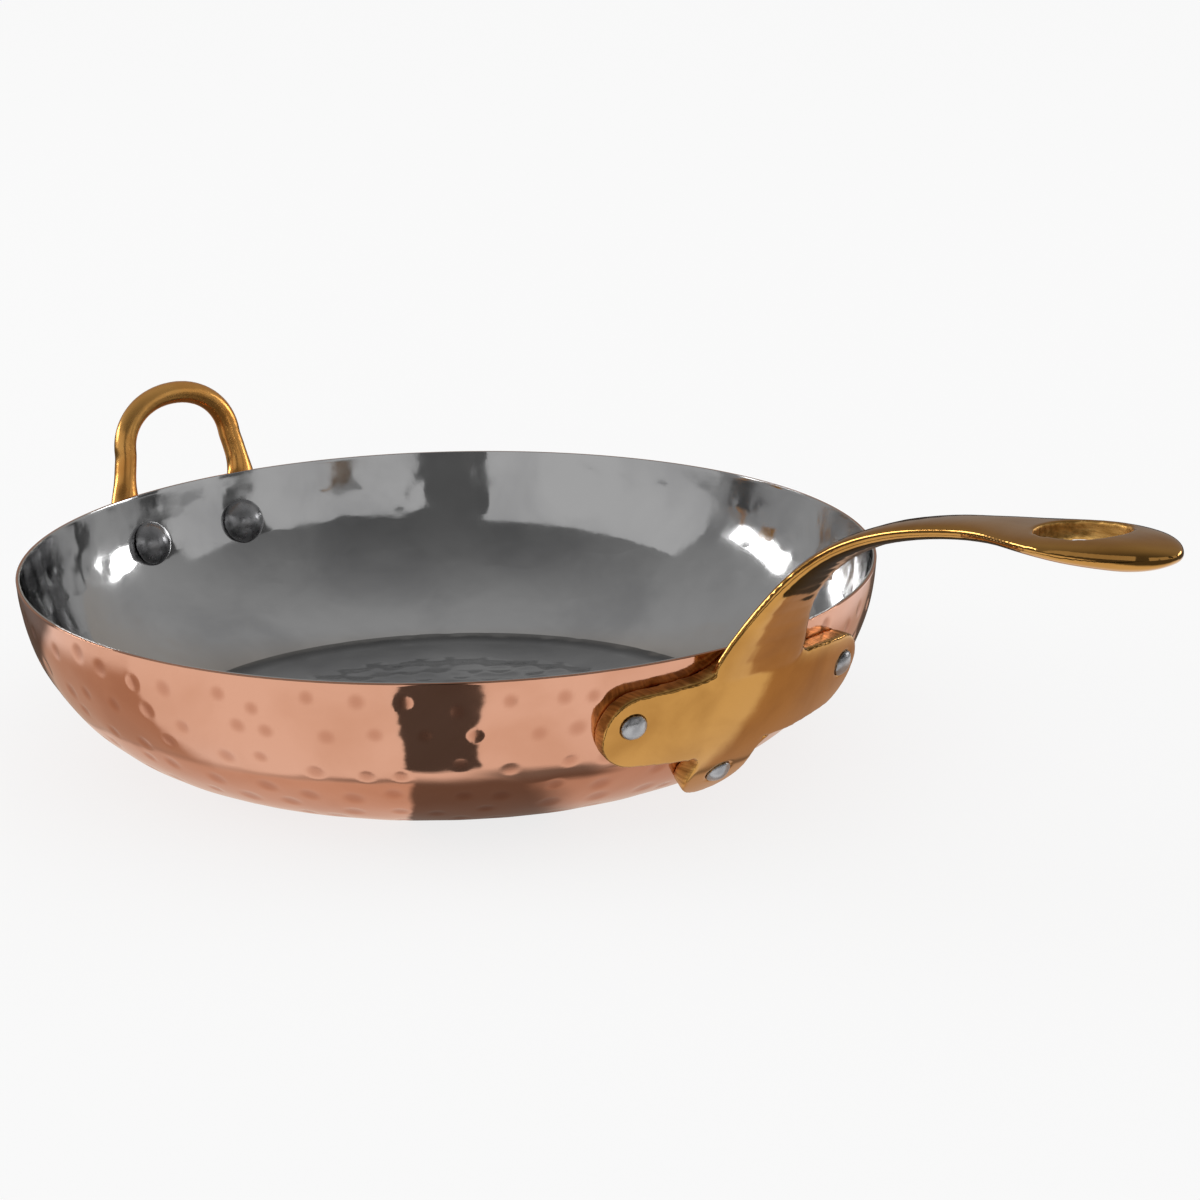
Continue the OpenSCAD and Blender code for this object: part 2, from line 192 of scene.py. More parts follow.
def shown_to_eye(tree):
    """1 for rays from the camera and for reflections, 0 for the light that falls on things."""
    rays = add_node(tree, "ShaderNodeLightPath").outputs
    seen = math_of(tree, "MAXIMUM", rays["Is Camera Ray"], rays["Is Glossy Ray"])
    return math_of(tree, "MAXIMUM", seen, rays["Is Transmission Ray"])


def add_world():
    """A white room whose light is a little softer than its look."""
    world = bpy.data.worlds.new("studio_world")
    bpy.context.scene.world = world
    world.use_nodes = True
    tree = world.node_tree
    tree.nodes.clear()
    levels = {"Value": shown_to_eye(tree), "To Min": WORLD_LIGHT, "To Max": 1.0}
    strength = add_node(tree, "ShaderNodeMapRange", levels).outputs[0]
    back = add_node(tree, "ShaderNodeBackground", {"Color": WHITE, "Strength": strength})
    out = add_node(tree, "ShaderNodeOutputWorld")
    tree.links.new(back.outputs[0], out.inputs["Surface"])


def floor_material():
    """White to the camera, and still darker where the pan's shadow falls."""
    made, out = new_material("studio_floor")
    tree = made.node_tree
    matt = add_node(tree, "ShaderNodeBsdfDiffuse", {"Color": FLOOR_COLOUR})
    glow = add_node(tree, "ShaderNodeEmission", {"Color": WHITE, "Strength": 1.0})
    share = math_of(tree, "MULTIPLY", shown_to_eye(tree), FLOOR_WHITE)
    mixed = add_node(tree, "ShaderNodeMixShader", {"Fac": share})
    tree.links.new(matt.outputs[0], mixed.inputs[1])
    tree.links.new(glow.outputs[0], mixed.inputs[2])
    tree.links.new(mixed.outputs[0], out.inputs["Surface"])
    return made


def add_stage_mesh(name, points, faces, material):
    """A mesh of the studio, given in studio coordinates."""
    mesh = bpy.data.meshes.new(name)
    mesh.from_pydata(points, [], faces)
    mesh.materials.append(material)
    sheet = bpy.data.objects.new(name, mesh)
    bpy.context.scene.collection.objects.link(sheet)
    sheet.matrix_world = STUDIO
    return sheet


def add_floor():
    """The square floor under the pan."""
    corners = ((-1, -1), (1, -1), (1, 1), (-1, 1))
    points = [(x * FLOOR_HALF, y * FLOOR_HALF, -FLOOR_DROP) for x, y in corners]
    add_stage_mesh("studio_floor", points, [(0, 1, 2, 3)], floor_material())


# What the metal mirrors

# Only reflections show these cards. Bearings and elevations are in degrees and distances in
# metres, as seen from the pan.

# Columns and rows of the curved cards
DOME_GRID = (64, 20)
PANEL_GRID = (24, 8)

# The room above the panels, by its place along Y as a share of its radius: dim to light, and
# plain to warm
DOME_R = 2.6
DOME_LIGHT_FROM = -1.0
DOME_LIGHT_TO = 0.6
DOME_LEVELS = (0.10, 0.34)
DOME_WARM_FROM = 0.45
DOME_WARM_TO = 0.85
DOME_WARM = (0.93, 0.85, 0.77, 1)
# Panels and dark flags: name, bearings, elevations, grey level and distance
PANELS = (
    ("panel_left", (-83, -10), (-1, 38), 0.52, 2.4),
    ("panel_right", (10, 91), (-1, 28.5), 0.50, 2.4),
    ("slot_right", (28.5, 33.5), (-1, 13), 0.22, 2.3),
    ("flag_right", (60, 70), (3, 28.5), 0.07, 2.2),
    ("flag_far_right", (91, 102), (3, 22), 0.06, 2.2),
)
# Windows, all at one distance: name, bearings, elevations and power in watts
WINDOW_AT = 1.8
WINDOWS = (
    ("window_left", (-119, -93), (10, 19.5), 6),
    ("window_right", (103, 121), (6, 16), 3),
)

# The table. Each fade gives where it starts and ends in metres, along the way that its name
# says, and its value before and after: away is from the camera, and outward from the axis.
TABLE_LOOK_R = 3.0
TABLE_LOOK_SIDES = 96
TABLE_LOOK_LIFT = 0.05 * MM
TABLE_FADES = {
    "outward, the lit table ends": (0.33, 0.42, 1.0, 0.1),
    "away, the lit front ends": (0.03, 0.055, 1.0, 0.2),
    "right, the lit front reaches further": (0.15, 0.25, 0.0, 0.2),
    "away, a paler back starts": (0.17, 0.24, 0.0, 0.65),
    "away, the board starts": (-0.098, -0.088, 0.0, 1.0),
    "sideways, the board ends": (0.19, 0.24, 1.0, 0.0),
    "outward, the strip's half width": (0.14, 0.25, 0.0145, 0.0335),
    "sideways, the strip's edge": (-1.0 * MM, 1.0 * MM, 1.0, 0.0),
    "away, the strip ends": (-0.138, -0.134, 1.0, 0.0),
    # The thin, wide and contact shadows near the foot are painted shadow of the pan on the table
    "from the foot, its thin shadow": (0.0, 3 * MM, 0.6, 0.0),
    "right, the thin shadow deepens": (-0.07, -0.02, 0.3, 1.0),
    "from the foot, its wide shadow": (3 * MM, 9 * MM, 0.75, 0.0),
    "right, the wide shadow starts": (0.0, 0.03, 0.0, 1.0),
    "right, the wide shadow ends": (0.052, 0.072, 1.0, 0.0),
    "right, the contact shadow starts": (-0.012, -0.009, 0.0, 0.75),
    "right, the contact shadow ends": (0.028, 0.046, 1.0, 0.15),
    "outward, the contact shadow ends": (0.126, 0.134, 1.0, 0.0),
    "outward, the pan's underside ends": (0.124, 0.132, 1.0, 0.0),
}
FOOT_R = 0.128
STRIP_DARK = 0.9
BOARD_COLOUR = (0.56, 0.42, 0.33, 1)
# Painted shade on the table under the pan, warm from the copper over it
UNDER_PAN_SHADE = (0.76, 0.61, 0.52, 1)
# The board's and the strip's edges waver with noise of one scale, and this is how far
WAVER_SCALE = 70
WAVER_RANGE = (0.2, 0.8)
BOARD_WAVER = 1.5 * MM
STRIP_WAVER = 1.6 * MM

# Painted shade: a black card that the neck's underside mirrors in place of the shaded gap by the
# pan
# The card beside the neck at the rim's height, in the part's own frame and in millimetres
NECK_SHADE_CARD_LEVEL = 0.07
NECK_SHADE_CARD = (
    (168, -10),
    (164, 0),
    (161, 9),
    (158.5, 14),
    (153.5, 25),
    (149, 35),
    (146.5, 45),
    (146, 70),
    (200, 70),
    (200, -10),
)


def add_reflected(name, points, faces, material):
    """A studio card that only reflections show: it neither lights the pan nor shades it."""
    card = add_stage_mesh(name, points, faces, material)
    card.visible_camera = False
    card.visible_diffuse = False
    card.visible_shadow = False


def glowing(name, level=1.0):
    """A material that glows white at one level, with its emission node."""
    made, out = new_material(name)
    glow = add_node(made.node_tree, "ShaderNodeEmission", {"Color": WHITE, "Strength": level})
    made.node_tree.links.new(glow.outputs[0], out.inputs["Surface"])
    return made, glow


def direction(bearing, elevation):
    """Studio direction for a bearing in degrees, 0 towards the camera and 90 to its right."""
    b, e = math.radians(bearing), math.radians(elevation)
    return Vector((math.sin(b) * math.cos(e), -math.cos(b) * math.cos(e), math.sin(e)))


def curved_grid(bearings, elevations, radius, columns, rows):
    """A patch of a large sphere round the pan, as points and faces."""
    centre = Vector((0, 0, PAN_H))
    points = [
        centre + radius * direction(bearing, elevation)
        for elevation in np.linspace(*elevations, rows + 1)
        for bearing in np.linspace(*bearings, columns + 1)
    ]
    faces = []
    for row in range(rows):
        for column in range(columns):
            k = row * (columns + 1) + column
            faces.append((k, k + 1, k + columns + 2, k + columns + 1))
    return points, faces


def add_panel(name, bearings, elevations, level, radius):
    """A curved panel of one grey level."""
    patch = curved_grid(bearings, elevations, radius, *PANEL_GRID)
    add_reflected(name, *patch, glowing(name, level)[0])


def add_dome():
    """The room above the panels, dim towards the camera, lighter and warmer behind the pan."""
    material, glow = glowing("room_dome")
    tree = material.node_tree
    away = parts_of(tree, object_point(tree))["Y"]
    reach = (DOME_LIGHT_FROM * DOME_R, DOME_LIGHT_TO * DOME_R)
    level = ramp_of(tree, away, *reach, *DOME_LEVELS)
    warmth = ramp_of(tree, away, DOME_WARM_FROM * DOME_R, DOME_WARM_TO * DOME_R)
    tree.links.new(level, glow.inputs["Strength"])
    tree.links.new(mixed_colour(tree, warmth, WHITE, DOME_WARM), glow.inputs["Color"])
    patch = curved_grid((-180, 180), (-1, 90), DOME_R, *DOME_GRID)
    add_reflected("room_dome", *patch, material)


def add_table_look():
    """What the metal sees of the table.

    It is lit in front, with a dimmer warm board behind, a dark strip towards the camera,
    painted shadows where the pan's foot meets it, and painted shade under the pan.
    """
    material, glow = glowing("table_look")
    tree = material.node_tree
    point = object_point(tree)
    right, away, _ = parts_of(tree, point)
    flat = joined(tree, right, away)
    outward = add_node(tree, "ShaderNodeVectorMath", {0: flat}, operation="LENGTH").outputs["Value"]
    rough_edge = noise_of(tree, point, WAVER_SCALE, detail=3.0)
    waver = ramp_of(tree, rough_edge, *WAVER_RANGE, -1.0, 1.0)

    def fade(name, value):
        return ramp_of(tree, value, *TABLE_FADES[name])

    def both(first, second):
        return math_of(tree, "MULTIPLY", first, second)

    def deepest(first, second):
        return math_of(tree, "MAXIMUM", first, second)

    def less(first, second):
        return math_of(tree, "SUBTRACT", first, second)

    def size_of(value):
        return math_of(tree, "ABSOLUTE", value)

    def wavering(value, by):
        return math_of(tree, "ADD", value, both(waver, by))

    board = both(
        fade("away, the board starts", wavering(away, BOARD_WAVER)),
        fade("sideways, the board ends", size_of(right)),
    )
    reach = fade("right, the lit front reaches further", right)
    lit = fade("away, the lit front ends", less(away, reach))
    lit = deepest(lit, fade("away, a paler back starts", away))
    lit = both(lit, fade("outward, the lit table ends", outward))

    wavy_right = wavering(right, STRIP_WAVER)
    half_width = fade("outward, the strip's half width", outward)
    strip = both(
        fade("sideways, the strip's edge", less(size_of(wavy_right), half_width)),
        fade("away, the strip ends", away),
    )
    from_foot = size_of(less(outward, FOOT_R))
    thin = both(
        fade("from the foot, its thin shadow", from_foot),
        fade("right, the thin shadow deepens", right),
    )
    wide = both(
        both(
            fade("from the foot, its wide shadow", from_foot),
            fade("right, the wide shadow starts", right),
        ),
        fade("right, the wide shadow ends", right),
    )
    # Painted contact shadow of the pan on the table, near its foot
    contact_shadow = both(
        both(fade("right, the contact shadow starts", wavy_right), fade("right, the contact shadow ends", wavy_right)),
        fade("outward, the contact shadow ends", outward),
    )
    dark = deepest(deepest(both(strip, STRIP_DARK), thin), deepest(contact_shadow, wide))
    tree.links.new(both(lit, less(1.0, dark)), glow.inputs["Strength"])

    # Painted shade where the table lies under the pan
    under = fade("outward, the pan's underside ends", outward)
    colour = mixed_colour(tree, board, WHITE, BOARD_COLOUR)
    tree.links.new(mixed_colour(tree, under, colour, UNDER_PAN_SHADE), glow.inputs["Color"])
    rim = []
    for k in range(TABLE_LOOK_SIDES):
        turn = k * 2 * math.pi / TABLE_LOOK_SIDES
        x, y = TABLE_LOOK_R * math.cos(turn), TABLE_LOOK_R * math.sin(turn)
        rim.append((x, y, TABLE_LOOK_LIFT))
    add_reflected("table_look", rim, [tuple(range(len(rim)))], material)


def add_neck_shade_card():
    """The small black card beside the plate, painted shade that darkens the neck's underside."""
    to_studio = STUDIO.inverted()
    points = [to_studio @ Vector((x * MM, y * MM, PAN_H)) for x, y in NECK_SHADE_CARD]
    material = glowing("neck_shade_card", NECK_SHADE_CARD_LEVEL)[0]
    add_reflected("neck_shade_card", points, [tuple(range(len(points)))], material)


def add_window(name, bearings, elevations, watts):
    """A bright rectangular soft box, given by the bearings and elevations that it fills."""
    data = bpy.data.lights.new(name, "AREA")
    data.shape = "RECTANGLE"
    middle = direction(sum(bearings) / 2, sum(elevations) / 2)
    data.size = WINDOW_AT * math.radians(bearings[1] - bearings[0])
    data.size_y = WINDOW_AT * math.radians(elevations[1] - elevations[0])
    data.energy = watts
    lamp = bpy.data.objects.new(name, data)
    bpy.context.scene.collection.objects.link(lamp)
    at = Vector((0, 0, PAN_H)) + WINDOW_AT * middle
    turned = (-middle).to_track_quat("-Z", "Y").to_matrix().to_4x4()
    lamp.matrix_world = STUDIO @ Matrix.Translation(at) @ turned


def add_studio():
    """The white room, the floor and all that the metal mirrors."""
    add_world()
    add_floor()
    add_dome()
    add_table_look()
    add_neck_shade_card()
    for panel in PANELS:
        add_panel(*panel)
    for window in WINDOWS:
        add_window(*window)


# Metals

# The noise that parts a metal's bright and dulled areas, and its smooth and rough ones, and how
# much finer the second is than the first
DULL_PARTING = (0.35, 0.75)
ROUGH_PARTING = (0.3, 0.7)
ROUGH_FINER = 3
# Filing on the plate's sides: how much of the normal points out of the pan there, and the
# height where the filed plate ends
FILED_FACING = (0.35, 0.6)
FILED_HEIGHT = (PAN_H - 6 * MM, PAN_H + 2 * MM)
FILED_ROUGHNESS = 0.3
# Its strokes: their depth, how many to a metre along the plate's edge and through it, and the
# noise that parts their two colours
STROKE_DEPTH = 0.12 * MM
STROKES_ALONG = 800.0
STROKES_THROUGH = 90.0
STROKE_PARTING = (0.3, 0.7)
# The slot's wall: how far up or down a face looks that is left out, and how far from the slot's
# middle the wall reaches, as the square of a share of the slot's half sizes
SLOT_UPRIGHT = (0.55, 0.8)
SLOT_REACH = (1.25, 1.5)


def wall_point(tree, across, along):
    """The surface unrolled round the pan's axis: turns and height, each with its own scale."""
    x, y, z = parts_of(tree, object_point(tree))
    turned = math_of(tree, "MULTIPLY", math_of(tree, "ARCTAN2", y, x), across)
    return joined(tree, turned, math_of(tree, "MULTIPLY", z, along))


def slot_wall(tree, point, normal):
    """1 on the wall inside the hanging slot, which is left as cast."""
    x, y, _ = parts_of(tree, point)
    along = math_of(tree, "DIVIDE", math_of(tree, "SUBTRACT", x, SLOT_AT), SLOT_HALF_LENGTH)
    across = math_of(tree, "DIVIDE", y, SLOT_HALF_WIDTH)
    squares = [math_of(tree, "MULTIPLY", value, value) for value in (along, across)]
    near = ramp_of(tree, math_of(tree, "ADD", *squares), *SLOT_REACH, 1.0, 0.0)
    upright = math_of(tree, "ABSOLUTE", parts_of(tree, normal)["Z"])
    return math_of(tree, "MULTIPLY", near, ramp_of(tree, upright, *SLOT_UPRIGHT, 1.0, 0.0))


def filed_side(tree, point):
    """1 on the plate's sides, which face along the wall, and in the slot, and 0 elsewhere."""
    x, y, z = parts_of(tree, point)
    flat = joined(tree, x, y)
    out = add_node(tree, "ShaderNodeVectorMath", {0: flat}, operation="NORMALIZE").outputs[0]
    normal = add_node(tree, "ShaderNodeNewGeometry").outputs["Normal"]
    facing = add_node(tree, "ShaderNodeVectorMath", {0: normal, 1: out}, operation="DOT_PRODUCT")
    side = ramp_of(tree, facing.outputs["Value"], *FILED_FACING, 1.0, 0.0)
    low = ramp_of(tree, z, *FILED_HEIGHT, 1.0, 0.0)
    plate = math_of(tree, "MULTIPLY", side, low)
    return math_of(tree, "MAXIMUM", plate, slot_wall(tree, point, normal))


def filing_strokes(tree, point):
    """Noise whose strokes run through the plate's thickness."""
    x, y, z = parts_of(tree, point)
    along = math_of(tree, "MULTIPLY", y, STROKES_ALONG)
    up = math_of(tree, "MULTIPLY", z, STROKES_ALONG)
    through = math_of(tree, "MULTIPLY", x, STROKES_THROUGH)
    return noise_of(tree, joined(tree, along, up, through), 1.0)


def bumped(tree, fields):
    """The normal after all the fields, each with its height and its depth, one on another."""
    normal = None
    for height, depth in fields:
        inputs = {"Height": height, "Strength": 1.0, "Distance": depth}
        if normal:
            inputs["Normal"] = normal
        normal = add_node(tree, "ShaderNodeBump", inputs).outputs[0]
    return normal


def metal(name, bright, dulled, patches, roughness, bumps, lines=None, hollows=None, filing=None):
    """A polished metal.

    bright and dulled are its colours and patches the scale of the dulled areas. roughness is
    the least and the most, and bumps are pairs of scale and depth in metres. lines are the
    scale of the polishing lines round and up a wall, and their depth. hollows are the darker
    colour put into a turned wall's marked hollows, its share and the added roughness: on the
    copper that colour is painted shade in the dents. filing is the dark and the bright colour
    of a casting's rough sides.
    """
    made, out = new_material(name)
    tree = made.node_tree
    point = object_point(tree)
    dullness = noise_of(tree, point, patches, detail=4.0, distortion=0.4)
    colour = mixed_colour(tree, ramp_of(tree, dullness, *DULL_PARTING), bright, dulled)
    wear = noise_of(tree, point, patches * ROUGH_FINER, detail=5.0)
    rough = ramp_of(tree, wear, *ROUGH_PARTING, *roughness)
    fields = [(noise_of(tree, point, scale), depth) for scale, depth in bumps]
    if lines:
        across, along, depth = lines
        fields.append((noise_of(tree, wall_point(tree, across, along), 1.0, detail=3.0), depth))
    # A wall's marked hollows get a darker colour: painted shade in the copper's dents, and the
    # lining's dark floor ring
    if hollows:
        hollow_colour, share, added = hollows
        hollow = add_node(tree, "ShaderNodeAttribute", attribute_name="hollow").outputs["Fac"]
        colour = mixed_colour(tree, math_of(tree, "MULTIPLY", hollow, share), colour, hollow_colour)
        rough = math_of(tree, "ADD", rough, math_of(tree, "MULTIPLY", hollow, added))
    if filing:
        side = filed_side(tree, point)
        strokes = filing_strokes(tree, point)
        fields.append((math_of(tree, "MULTIPLY", strokes, side), STROKE_DEPTH))
        stroked = mixed_colour(tree, ramp_of(tree, strokes, *STROKE_PARTING), *filing)
        colour = mixed_colour(tree, side, colour, stroked)
        rough = math_of(tree, "ADD", rough, math_of(tree, "MULTIPLY", side, FILED_ROUGHNESS))
    inputs = {"Base Color": colour, "Metallic": 1.0, "Roughness": rough}
    inputs["Normal"] = bumped(tree, fields)
    shader = add_node(tree, "ShaderNodeBsdfPrincipled", inputs)
    tree.links.new(shader.outputs[0], out.inputs["Surface"])
    return made


def copper_polished():
    """Warm polished copper, rougher in its dents and darker and redder there as painted shade."""
    return metal(
        "copper_polished",
        bright=(0.70, 0.365, 0.245, 1),
        dulled=(0.61, 0.295, 0.185, 1),
        patches=26,
        roughness=(0.06, 0.11),
        bumps=((60, 0.04 * MM), (600, 0.004 * MM)),
        lines=(26, 2200, 0.004 * MM),
        hollows=((0.50, 0.215, 0.13, 1), 0.75, 0.10),
    )


def lining_steel():
    """Bright steel, with a dark ring round the floor."""
    return metal(
        "lining_steel",
        bright=(0.67, 0.67, 0.67, 1),
        dulled=(0.52, 0.52, 0.525, 1),
        patches=26,
        roughness=(0.06, 0.13),
        bumps=((110, 0.045 * MM), (900, 0.003 * MM)),
        lines=(30, 1800, 0.002 * MM),
        hollows=((0.20, 0.20, 0.20, 1), 0.85, 0.05),
    )


def brass_polished():
    """The long handle's polished brass, filed at the plate's sides."""
    return metal(
        "brass_polished",
        bright=(0.56, 0.285, 0.075, 1),
        dulled=(0.43, 0.205, 0.05, 1),
        patches=45,
        roughness=(0.06, 0.13),
        bumps=((130, 0.03 * MM), (700, 0.004 * MM)),
        filing=((0.46, 0.24, 0.06, 1), (0.82, 0.48, 0.15, 1)),
    )


def brass_satin():
    """The loop's brighter, satin brass."""
    return metal(
        "brass_satin",
        bright=(0.97, 0.50, 0.14, 1),
        dulled=(0.84, 0.36, 0.08, 1),
        patches=60,
        roughness=(0.24, 0.34),
        bumps=((160, 0.04 * MM), (900, 0.006 * MM)),
    )


def rivet_steel():
    """The rivets' grey steel, dull and pitted."""
    return metal(
        "rivet_steel",
        bright=(0.44, 0.44, 0.45, 1),
        dulled=(0.28, 0.28, 0.29, 1),
        patches=160,
        roughness=(0.22, 0.38),
        bumps=((380, 0.06 * MM), (1500, 0.015 * MM)),
    )


# Turned walls

# A run is a distance along the section from the base's middle to the rim, and a depth is a
# distance inside the outer face. A side is 1 outside, -1 inside and 0 on the lip.
OUTSIDE = 1
INSIDE = -1
# Points closer than this are one
WELD = 0.001 * MM
# The lip's round edge: its number of steps, and its height as a share of a half circle's
LIP_STEPS = 8
LIP_BULGE = 0.6
# How finely the walls are turned: round the axis, and along the section where it is hidden, on
# the copper's base, its plain and its hammered wall, and on the lining
COPPER_SEGMENTS = 810
LINING_SEGMENTS = 640
HIDDEN_STEP = 20 * MM
BASE_STEP = 8 * MM
PLAIN_STEP = 2 * MM
HAMMERED_STEP = 0.92 * MM
LINING_STEP = 1.25 * MM
# How far below the rim the hammered wall's fine steps start
HAMMERED_BELOW_RIM = 78 * MM

# The hammer's rows on the wall: how many, the first one's distance below the rim, and the
# distance from row to row and from blow to blow
ROW_COUNT = 7
ROW_FIRST = 8 * MM
ROW_STEP = 12.2 * MM
BLOW_STEP = 15.4 * MM
# A blow's radius in the first row, what each row adds to it, its spread as shares of that, and
# its drift as a share of the distance between blows
BLOW_SEED = 5
BLOW_R = 3.3 * MM
BLOW_R_MORE = 0.15 * MM
BLOW_SPREAD = (0.8, 1.15)
BLOW_DRIFT = 0.22
BLOW_DEPTH = 0.26 * MM
# What a blow leaves on the other side of the sheet
INNER_BLOW_DEPTH = 0.06 * MM

# Planishing waves: their seed, size and depth, and where they end below the rim
COPPER_WAVES = ((1, 14 * MM, 0.22 * MM, 3 * MM), (3, 6 * MM, 0.025 * MM, 1 * MM))
LINING_WAVES = ((2, 15 * MM, 0.22 * MM, 2 * MM), (4, 7 * MM, 0.09 * MM, 1 * MM))
# How far one seed moves the waves in the noise, along X, Y and Z
SEED_SHIFT = (7.3, 3.1, 5.7)

# The lining's floor ends in a dark ring, which looks a little wider than its groove
FLOOR_EDGE = BASE_R + 24 * MM
FLOOR_RING_R = FLOOR_EDGE - 1 * MM
FLOOR_RING_HALF = 6 * MM
FLOOR_RING_DEPTH = 0.12 * MM
FLOOR_RING_DARK_HALF = 7.5 * MM
# Pebbles lie in circles inside it: the first circle's radius, the distance from circle to
# circle and from pebble to pebble, and their drift along a circle as a share of that. Their
# drift across it and their radii are in millimetres.
PEBBLE_SEED = 11
PEBBLE_FIRST_R = 5 * MM
PEBBLE_CIRCLE_STEP = 9 * MM
PEBBLE_STEP = 10 * MM
PEBBLE_DRIFT = 0.3
PEBBLE_SHIFT = 1.6
PEBBLE_RADII = (4.6, 6.4)
PEBBLE_DEPTH = 0.2 * MM


def wall_place(run, depth):
    """Radius, height and outward direction on the section, a depth inside the outer face."""
    if run <= BASE_R:
        turn = 0.0
        r, z = run, 0.0
    elif run <= BASE_R + ARC_RUN:
        turn = (run - BASE_R) / CORNER_R
        r, z = BASE_R + CORNER_R * math.sin(turn), CORNER_R * (1 - math.cos(turn))
    else:
        turn = math.pi / 2 - LIP_LEAN
        past = run - BASE_R - ARC_RUN
        r = BASE_R + CORNER_R * math.sin(turn) + past * math.sin(LIP_LEAN)
        z = ARC_TOP + past * math.cos(LIP_LEAN)
    out_r, out_z = math.sin(turn), -math.cos(turn)
    return r - depth * out_r, z - depth * out_z, out_r, out_z


def thinned(depth, run):
    """A face's depth at a run: the outermost face stays, the others lean out below the rim."""
    below = WALL_RUN - run
    if depth <= 0 or below >= THIN_FROM:
        return depth
    if below >= THIN_FULL:
        return depth - THIN_SLOPE * (THIN_FROM - below) ** 2 / 2 / (THIN_FROM - THIN_FULL)
    return depth - THIN_SLOPE * ((THIN_FROM - THIN_FULL) / 2 + THIN_FULL - below)


def steps(*spans):
    """Runs from span to span, each given as its end and its step, from 0."""
    runs = [0.0]
    for end, step in spans:
        count = max(1, round((end - runs[-1]) / step))
        runs += list(np.linspace(runs[-1], end, count + 1))[1:]
    return runs


def wall_stations(depths, runs):
    """A wall's section up its outer face, over the lip and down inside: run, depth and side."""
    outer_depth, inner_depth = depths
    outer_runs, inner_runs = runs
    top_outer = thinned(outer_depth, WALL_RUN)
    half = (thinned(inner_depth, WALL_RUN) - top_outer) / 2
    lip = WALL_RUN - half * LIP_BULGE
    stations = [(run, thinned(outer_depth, run), OUTSIDE) for run in outer_runs if run < lip]
    for k in range(LIP_STEPS + 1):
        bend = math.pi * k / LIP_STEPS
        run = lip + half * LIP_BULGE * math.sin(bend)
        stations.append((run, top_outer + half * (1 - math.cos(bend)), 0))
    downward = [run for run in reversed(inner_runs) if run < lip]
    return stations + [(run, thinned(inner_depth, run), INSIDE) for run in downward]


def turned(radial, upward, angles):
    """Points or directions of the section, turned to every angle."""
    flat = radial[:, None]
    rows = [flat * np.cos(angles), flat * np.sin(angles)]
    rows.append(np.repeat(upward[:, None], len(angles), axis=1))
    return np.stack(rows, axis=-1)


def smooth_mesh(name, points, hollow):
    """A piece from a grid of points that closes round the axis, with its hollows kept."""
    count, segments = hollow.shape
    index = np.arange(count * segments).reshape(count, segments)
    after = np.roll(index, -1, axis=1)
    quads = np.stack([index[:-1], after[:-1], after[1:], index[1:]], axis=-1).reshape(-1, 4)
    mesh = bpy.data.meshes.new(name)
    mesh.from_pydata(points.reshape(-1, 3).tolist(), [], quads.tolist())
    kept = mesh.attributes.new("hollow", "FLOAT", "POINT")
    kept.data.foreach_set("value", hollow.reshape(-1).astype(np.float32))
    piece = bpy.data.objects.new(name, mesh)
    bpy.context.scene.collection.objects.link(piece)
    shape = bmesh.new()
    shape.from_mesh(mesh)
    bmesh.ops.remove_doubles(shape, verts=shape.verts, dist=WELD)
    bmesh.ops.recalc_face_normals(shape, faces=shape.faces)
    for face in shape.faces:
        face.smooth = True
    shape.to_mesh(mesh)
    shape.free()
    return piece


def turned_wall(name, depths, runs, segments, fields, marks):
    """Turns a wall between two depths of the section and hammers it.

    runs are the outer and the inner face's places along the section. fields are functions of
    the points, and of the angle, run and side of each, which give how far each point moves out
    of the metal. marks is a field that is kept with the points as "hollow", for the material.
    """
    stations = wall_stations(depths, runs)
    angles = np.arange(segments) * 2 * math.pi / segments
    places = np.array([wall_place(run, depth) for run, depth, _ in stations])
    points = turned(places[:, 0], places[:, 1], angles)
    away = turned(places[:, 2], places[:, 3], angles)
    angle = np.repeat(angles[None, :], len(stations), axis=0)
    run = np.repeat(np.array([station[0] for station in stations])[:, None], segments, axis=1)
    side = np.repeat(np.array([station[2] for station in stations])[:, None], segments, axis=1)
    moved = sum(field(points, angle, run, side) for field in fields)
    hollow = np.clip(-marks(points, angle, run, side), 0, 1)
    return smooth_mesh(name, points + away * (moved * side)[..., None], hollow)


def wall_blows():
    """The hammer's blows on the wall as angle, run and radius, in loose rows."""
    rng = random.Random(BLOW_SEED)
    blows = []
    for row in range(ROW_COUNT):
        run = WALL_RUN - ROW_FIRST - ROW_STEP * row
        radius = BLOW_R + BLOW_R_MORE * row
        count = round(2 * math.pi * wall_place(run, 0)[0] / BLOW_STEP)
        start = rng.random()
        for k in range(count):
            angle = (k + start + rng.uniform(-BLOW_DRIFT, BLOW_DRIFT)) * 2 * math.pi / count
            place = run + rng.uniform(-BLOW_DRIFT, BLOW_DRIFT) * BLOW_STEP
            blows.append((angle, place, radius * rng.uniform(*BLOW_SPREAD)))
    return blows


def floor_pebbles():
    """The shallow dents that cover the lining's floor, as angle, run and radius, in circles."""
    rng = random.Random(PEBBLE_SEED)
    pebbles = []
    r = PEBBLE_FIRST_R
    while r < FLOOR_EDGE - PEBBLE_CIRCLE_STEP:
        count = round(2 * math.pi * r / PEBBLE_STEP)
        for k in range(count):
            angle = (k + rng.uniform(-PEBBLE_DRIFT, PEBBLE_DRIFT)) * 2 * math.pi / count
            place = r + rng.uniform(-PEBBLE_SHIFT, PEBBLE_SHIFT) * MM
            pebbles.append((angle, place, rng.uniform(*PEBBLE_RADII) * MM))
        r += PEBBLE_CIRCLE_STEP
    return pebbles


